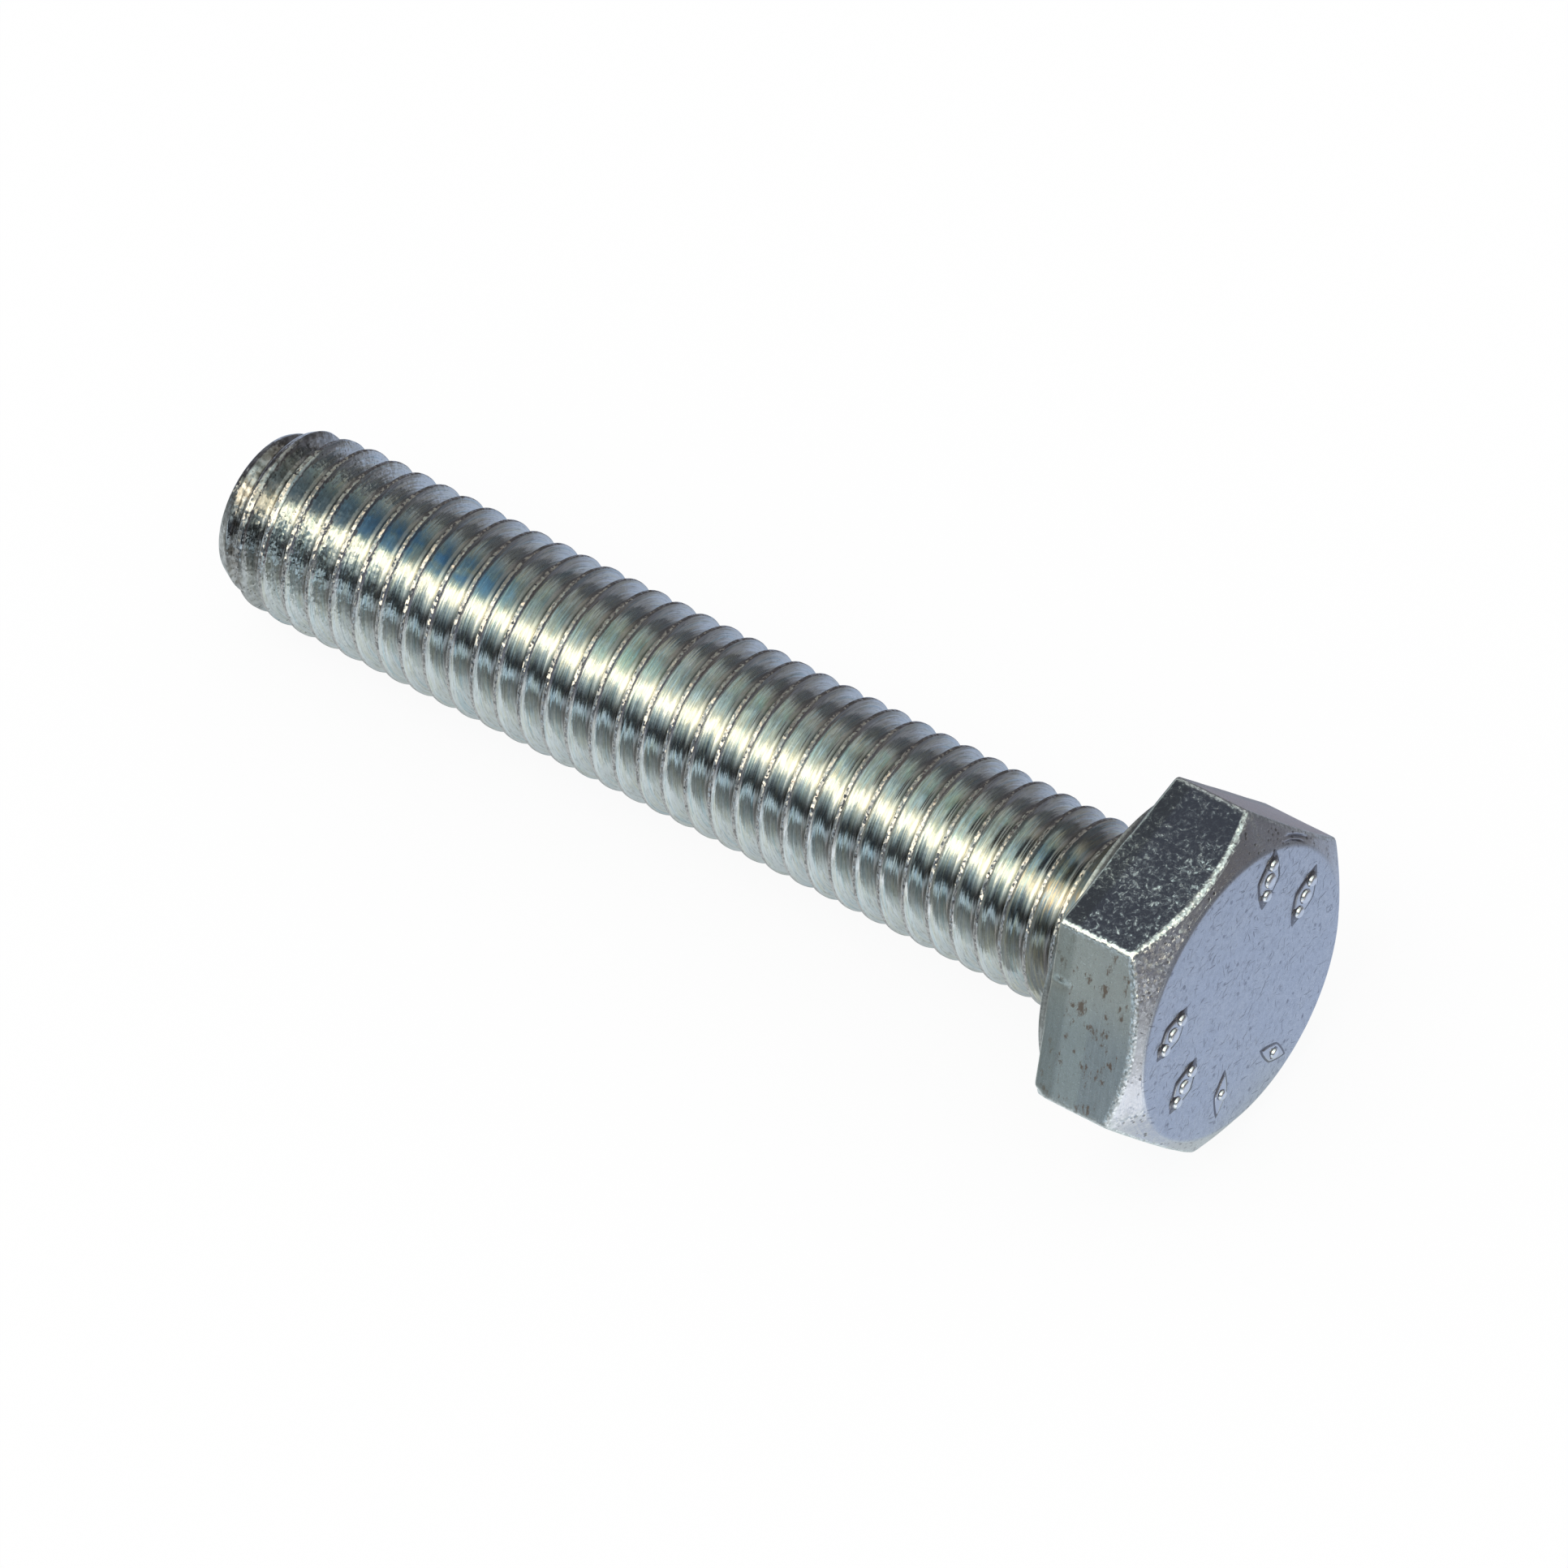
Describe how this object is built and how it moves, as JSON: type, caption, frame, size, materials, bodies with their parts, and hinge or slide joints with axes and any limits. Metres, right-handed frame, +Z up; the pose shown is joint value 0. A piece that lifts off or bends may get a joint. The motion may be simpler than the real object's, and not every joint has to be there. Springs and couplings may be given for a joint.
{
  "type": "hex head screw",
  "caption": "Hex head screw of plated steel with a washer face under the head and a coarse metric thread over its whole shank, lying on one flat.",
  "frame": {"origin": "centre of the bearing face under the head, on the screw's axis", "axes": "+X from the head towards the tip, dipping 3.9 degrees as the screw rests on one flat and its tip; +Z up; one flat of the hexagon faces down"},
  "size_m": [0.0617, 0.0196, 0.0174],
  "materials": {
    "zinc_plated_steel": "bright zinc plating with fine grain"
  },
  "bodies": {
    "root": {"screw": "zinc_plated_steel"}
  },
  "joints": []
}
